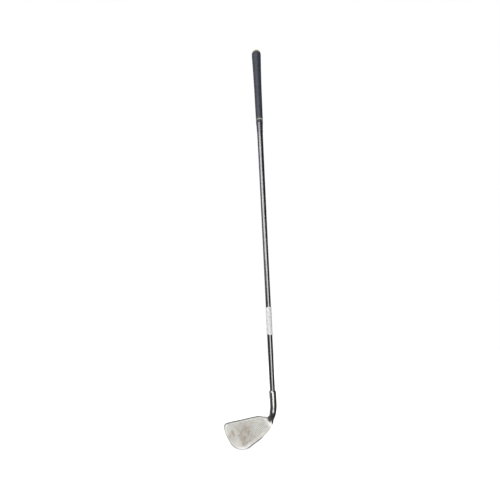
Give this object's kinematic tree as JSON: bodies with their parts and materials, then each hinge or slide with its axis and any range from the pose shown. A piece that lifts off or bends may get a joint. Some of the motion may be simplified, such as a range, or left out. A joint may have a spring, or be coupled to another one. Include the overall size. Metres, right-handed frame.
{
  "type": "iron golf club",
  "caption": "Right-handed iron golf club: cavity-back steel head with score lines and a bored hosel, tapered dark shaft with a blank paper label, and a slip-on rubber grip with a domed cap.",
  "frame": {"origin": "centre of the butt end of the grip, at the mouth of the vent hole", "axes": "+Z along the shaft towards the butt, -Y the side that the striking face looks to, -X the side that the toe points to"},
  "size_m": [0.1023, 0.0412, 0.9891],
  "materials": {
    "head_steel": "blasted satin face, polished rim, neck and hosel, light rust stains",
    "badge": "brushed",
    "adhesive": "cured adhesive",
    "shaft": "glossy clear-coated black",
    "brass": "turned",
    "cork": "cut cork",
    "grip_rubber": "matt, moulded texture, worn",
    "cap_rubber": "matt, scuffed",
    "band": "matt, dirty cream",
    "tape": "paper tape",
    "collar": "glossy black",
    "label": "creased white paper, blank"
  },
  "bodies": {
    "root": {"clubhead": "head_steel", "cavity_badge": "badge", "badge_pad": "adhesive", "shaft_tube": "shaft", "tip_weight": "brass", "tip_plug": "cork", "epoxy_bond": "adhesive", "grip_sleeve": "grip_rubber", "grip_cap": "cap_rubber", "grip_band": "band", "grip_tape": "tape", "grip_collar": "collar", "shaft_label": "label"}
  },
  "joints": []
}
